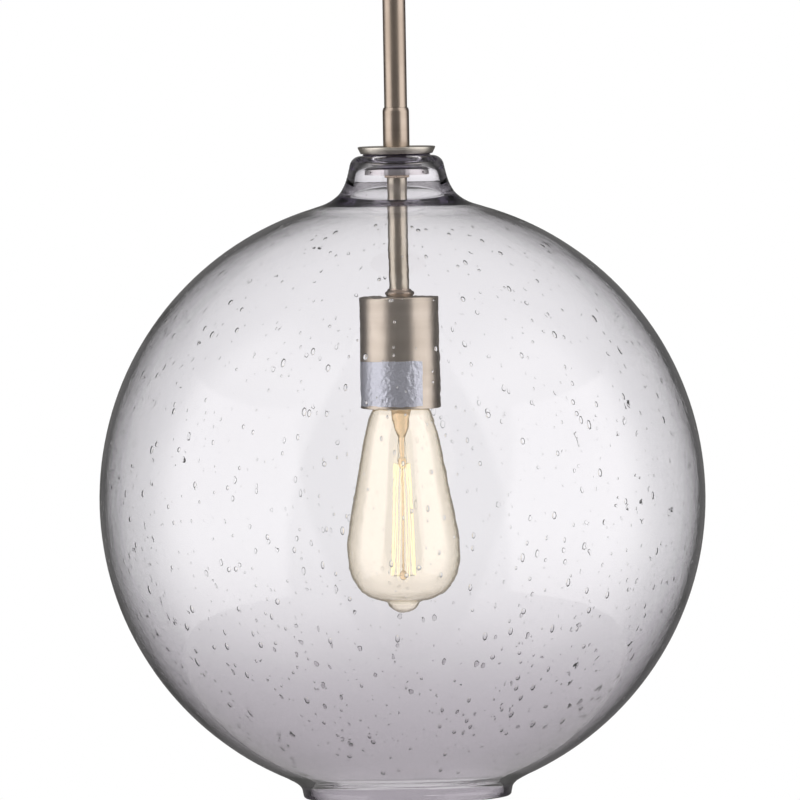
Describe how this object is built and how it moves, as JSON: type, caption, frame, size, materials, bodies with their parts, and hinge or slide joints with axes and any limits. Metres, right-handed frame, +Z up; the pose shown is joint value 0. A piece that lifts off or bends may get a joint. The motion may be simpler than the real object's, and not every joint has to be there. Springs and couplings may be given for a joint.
{
  "type": "pendant ceiling light",
  "caption": "Globe pendant light: a clear seeded-glass ball with an open lower neck on a slim downrod, a swivelling ceiling canopy, a plain metal socket cup and a pear-shaped filament lamp.",
  "frame": {"origin": "centre of the crossbar's top face, on the ceiling plane", "axes": "+Z up into the ceiling and along the downrod, +X along the crossbar, -Y towards the viewer"},
  "size_m": [0.344, 0.344, 0.7215],
  "materials": {
    "satin_nickel": "warm satin nickel, fine brushing",
    "zinc_steel": "zinc-plated steel",
    "seeded_glass": "clear blown glass with small seeds",
    "lamp_glass": "pale amber clear glass",
    "gasket_rubber": "dark matt rubber",
    "brass": "pressed brass",
    "ceramic": null,
    "nylon": "natural nylon",
    "black_plastic": "black insulation and lamp-base glass",
    "white_plastic": "white insulation",
    "green_paint": "green earth screws and insulation",
    "orange_plastic": "twist-on wire connectors",
    "filament": "glowing carbon-style filament"
  },
  "bodies": {
    "ceiling_mount": {"crossbar": "zinc_steel", "canopy": "satin_nickel", "canopy_stud_left": "zinc_steel", "canopy_stud_right": "zinc_steel", "stud_nut_left": "zinc_steel", "stud_nut_right": "zinc_steel", "ball_knob_left": "satin_nickel", "ball_knob_right": "satin_nickel", "ground_screw": "green_paint", "live_lead": "black_plastic", "neutral_lead": "white_plastic", "ground_lead": "green_paint", "live_connector": "orange_plastic", "neutral_connector": "orange_plastic"},
    "swivel_bearing": {"bearing_ring": "nylon"},
    "pendant": {"swivel_ball": "satin_nickel", "swivel_nipple": "zinc_steel", "downrod": "satin_nickel", "rod_coupling": "satin_nickel", "top_cap": "satin_nickel", "upper_gasket": "gasket_rubber", "glass_globe": "seeded_glass", "lower_gasket": "gasket_rubber", "retaining_plate": "satin_nickel", "retaining_nut": "satin_nickel", "stem": "satin_nickel", "stem_nut": "satin_nickel", "socket_cup": "satin_nickel", "cup_lock_nut": "zinc_steel", "socket_strap": "zinc_steel", "strap_screw_left": "zinc_steel", "strap_screw_right": "zinc_steel", "strap_ground_screw": "green_paint", "socket_body": "ceramic", "screw_shell": "brass", "centre_contact": "brass", "live_terminal_screw": "brass", "neutral_terminal_screw": "zinc_steel", "live_wire": "black_plastic", "neutral_wire": "white_plastic", "ground_wire": "green_paint"},
    "lamp": {"base_shell": "brass", "base_insulator": "black_plastic", "base_contact": "zinc_steel", "lamp_glass": "lamp_glass", "glass_mount": "lamp_glass", "filament": "filament", "upper_anchors": "zinc_steel", "lower_anchors": "zinc_steel", "lead_wire_left": "zinc_steel", "lead_wire_right": "zinc_steel"}
  },
  "joints": [
    {"name": "swivel_turn", "type": "hinge", "parent": "ceiling_mount", "child": "swivel_bearing", "pos_m": [0, 0, -0.0205], "axis": [0, 0, 1], "range_deg": [-170, 170]},
    {"name": "swivel_tilt", "type": "hinge", "parent": "swivel_bearing", "child": "pendant", "pos_m": [0, 0, -0.0205], "axis": [1, 0, 0], "range_deg": [-20, 20]},
    {"name": "lamp_out", "type": "slide", "parent": "pendant", "child": "lamp", "axis": [0, 0, -1], "range_m": [0, 0.27]}
  ]
}
